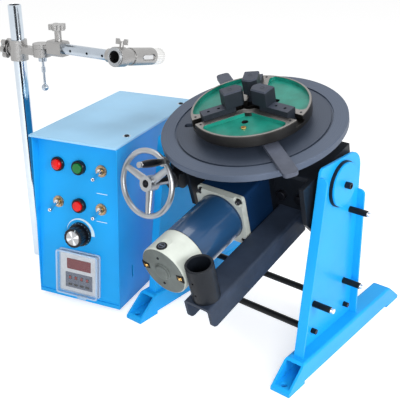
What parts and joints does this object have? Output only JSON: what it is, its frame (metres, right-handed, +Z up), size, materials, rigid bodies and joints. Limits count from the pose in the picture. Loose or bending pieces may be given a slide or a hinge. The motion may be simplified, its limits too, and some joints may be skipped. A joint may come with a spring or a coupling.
{
  "type": "tilting welding positioner",
  "caption": "Motor-driven turntable with a scroll chuck on a hand-tilted cradle between two uprights, with its control box and a torch stand.",
  "frame": {"origin": "on the floor, in the middle of the four foot bolt holes", "axes": "+Z up, +X along the tilt axis away from the control box, +Y towards the back"},
  "size_m": [0.7553, 0.5113, 0.542],
  "materials": {
    "blue_paint": "gloss powder coat",
    "light_blue_paint": "gloss powder coat",
    "black_paint": "satin",
    "black_oxide": "black oxide",
    "cast_case": "painted",
    "ground_steel": "ground",
    "chuck_green": "enamel with machined faces",
    "motor_blue": "gloss",
    "grey_casting": "painted casting",
    "bronze": "machined",
    "chrome": "polished",
    "black_plastic": "moulded",
    "rubber": "moulded",
    "red_plastic": "moulded",
    "green_plastic": "moulded",
    "clear_plastic": "clear moulding"
  },
  "bodies": {
    "frame": {"foot_rail_left": "blue_paint", "foot_rail_right": "blue_paint", "upright_left": "blue_paint", "upright_right": "blue_paint", "tie_rods": "black_oxide", "tie_rod_bolts": "black_oxide", "standoffs": "black_oxide", "bearing_rings": "black_paint", "gear_case": "cast_case", "box_shell": "blue_paint", "box_cover": "light_blue_paint", "front_panel": "blue_paint", "box_feet": "rubber", "pilot_lamp": "red_plastic", "panel_bushes": "chrome", "timer_body": "black_plastic", "stand_pole": "chrome"},
    "cradle": {"tilt_cradle": "black_paint", "trunnion_pins": "ground_steel", "trunnion_caps": "blue_paint", "cradle_bolts": "black_oxide", "spindle_bearings": "ground_steel", "drive_adapter": "black_paint", "gearbox": "motor_blue", "motor_flange": "grey_casting", "motor_body": "motor_blue", "motor_end_cap": "grey_casting", "torch_arm": "black_paint", "torch_socket": "black_paint", "worm_wheel": "bronze"},
    "table": {"spindle": "ground_steel", "turntable": "ground_steel", "drive_gear": "ground_steel", "chuck_body": "chuck_green"},
    "pinion": {"drive_pinion": "ground_steel"},
    "scroll": {"scroll_plate": "ground_steel", "lever_bar": "black_paint"},
    "jaw_1": {"base_jaw_1": "black_oxide", "top_jaw_1": "black_oxide"},
    "jaw_2": {"base_jaw_2": "black_oxide", "top_jaw_2": "black_oxide"},
    "jaw_3": {"base_jaw_3": "black_oxide", "top_jaw_3": "black_oxide"},
    "handwheel": {"worm_shaft": "ground_steel", "handwheel": "chrome"},
    "handle_grip": {"handle_grip": "black_plastic"},
    "green_button": {"green_button": "green_plastic"},
    "red_button": {"red_button": "red_plastic"},
    "toggle_1": {"toggle_1": "chrome"},
    "toggle_2": {"toggle_2": "chrome"},
    "toggle_3": {"toggle_3": "chrome"},
    "speed_knob": {"speed_knob": "black_plastic"},
    "timer_cover": {"timer_cover": "clear_plastic"},
    "pole_clamp": {"pole_clamp": "chrome"},
    "clamp_knob": {"clamp_knob": "chrome"},
    "swivel": {"swivel_block": "chrome"},
    "tee_knob": {"tee_knob": "chrome"},
    "cross_tube": {"cross_tube": "chrome"},
    "torch_clamp": {"torch_clamp": "chrome"},
    "lock_lever": {"lock_lever": "chrome"}
  },
  "joints": [
    {"name": "tilt", "type": "hinge", "parent": "frame", "child": "cradle", "pos_m": [0, -0.0394, 0.317], "axis": [1, 0, 0], "range_deg": [-106, 4]},
    {"name": "table_spin", "type": "hinge", "parent": "cradle", "child": "table", "pos_m": [0, -0.06145, 0.3939], "axis": [0, -0.2756, 0.9613], "continuous": true},
    {"name": "pinion_spin", "type": "hinge", "parent": "cradle", "child": "pinion", "pos_m": [0, -0.05831, 0.27413], "axis": [0, 0.9613, 0.2756], "continuous": true},
    {"name": "scroll_turn", "type": "hinge", "parent": "table", "child": "scroll", "pos_m": [0, -0.0631, 0.39967], "axis": [0, -0.2756, 0.9613], "range_deg": [-450, 1020]},
    {"name": "jaw_1_slide", "type": "slide", "parent": "table", "child": "jaw_1", "axis": [0.9977, -0.0654, -0.0187], "range_m": [-0.008, 0.018]},
    {"name": "jaw_2_slide", "type": "slide", "parent": "table", "child": "jaw_2", "axis": [-0.4399, 0.8632, 0.2475], "range_m": [-0.008, 0.018]},
    {"name": "jaw_3_slide", "type": "slide", "parent": "table", "child": "jaw_3", "axis": [-0.5577, -0.7979, -0.2288], "range_m": [-0.008, 0.018]},
    {"name": "handwheel_turn", "type": "hinge", "parent": "frame", "child": "handwheel", "pos_m": [-0.141, -0.17393, 0.27999], "axis": [0, 0.9816, -0.1908], "range_deg": [-150, 3200]},
    {"name": "grip_spin", "type": "hinge", "parent": "handwheel", "child": "handle_grip", "pos_m": [-0.10802, -0.18458, 0.33004], "axis": [0, 0.9816, -0.1908], "continuous": true},
    {"name": "green_button_press", "type": "slide", "parent": "frame", "child": "green_button", "axis": [-0.2656, 0.9577, -0.1108], "range_m": [0, 0.003], "stiffness_N_per_m": 400},
    {"name": "red_button_press", "type": "slide", "parent": "frame", "child": "red_button", "axis": [-0.2656, 0.9577, -0.1108], "range_m": [0, 0.003], "stiffness_N_per_m": 400},
    {"name": "toggle_1_throw", "type": "hinge", "parent": "frame", "child": "toggle_1", "pos_m": [-0.25044, -0.18211, 0.27694], "axis": [0.9636, 0.2672, 0], "range_deg": [-40, 0]},
    {"name": "toggle_2_throw", "type": "hinge", "parent": "frame", "child": "toggle_2", "pos_m": [-0.33883, -0.21513, 0.2034], "axis": [0.9636, 0.2672, 0], "range_deg": [-40, 0]},
    {"name": "toggle_3_throw", "type": "hinge", "parent": "frame", "child": "toggle_3", "pos_m": [-0.24824, -0.19001, 0.2034], "axis": [0.9636, 0.2672, 0], "range_deg": [-40, 0]},
    {"name": "speed_knob_turn", "type": "hinge", "parent": "frame", "child": "speed_knob", "pos_m": [-0.29085, -0.2085, 0.14575], "axis": [-0.2656, 0.9577, -0.1108], "range_deg": [-140, 140]},
    {"name": "timer_cover_hinge", "type": "hinge", "parent": "frame", "child": "timer_cover", "pos_m": [-0.33505, -0.225, 0.06571], "axis": [0.0296, -0.1068, -0.9938], "range_deg": [0, 85]},
    {"name": "clamp_height", "type": "slide", "parent": "frame", "child": "pole_clamp", "axis": [0, 0, 1], "range_m": [-0.05, 0.06]},
    {"name": "clamp_knob_turn", "type": "hinge", "parent": "pole_clamp", "child": "clamp_knob", "pos_m": [-0.54773, -0.1389, 0.455], "axis": [0.9903, 0.1392, 0], "continuous": true},
    {"name": "tube_swivel", "type": "hinge", "parent": "pole_clamp", "child": "swivel", "pos_m": [-0.4586, -0.12637, 0.46], "axis": [0, 0, 1], "range_deg": [-20, 40]},
    {"name": "tee_knob_turn", "type": "hinge", "parent": "swivel", "child": "tee_knob", "pos_m": [-0.41404, -0.12011, 0.4995], "axis": [0, 0, 1], "continuous": true},
    {"name": "tube_reach", "type": "slide", "parent": "swivel", "child": "cross_tube", "axis": [0.9903, 0.1392, 0], "range_m": [0, 0.008]},
    {"name": "torch_clamp_turn", "type": "hinge", "parent": "cross_tube", "child": "torch_clamp", "pos_m": [-0.29224, -0.10299, 0.4695], "axis": [0.9903, 0.1392, 0], "range_deg": [-20, 60]},
    {"name": "lock_lever_turn", "type": "hinge", "parent": "swivel", "child": "lock_lever", "pos_m": [-0.4586, -0.12637, 0.443], "axis": [0, 0, 1], "continuous": true}
  ],
  "couplings": [
    {"joint": "pinion_spin", "follows": "table_spin", "ratio": 2},
    {"joint": "handwheel_turn", "follows": "tilt", "ratio": -30},
    {"joint": "jaw_1_slide", "follows": "scroll_turn", "m_per_rad": 0.001},
    {"joint": "jaw_2_slide", "follows": "scroll_turn", "m_per_rad": 0.001},
    {"joint": "jaw_3_slide", "follows": "scroll_turn", "m_per_rad": 0.001}
  ]
}
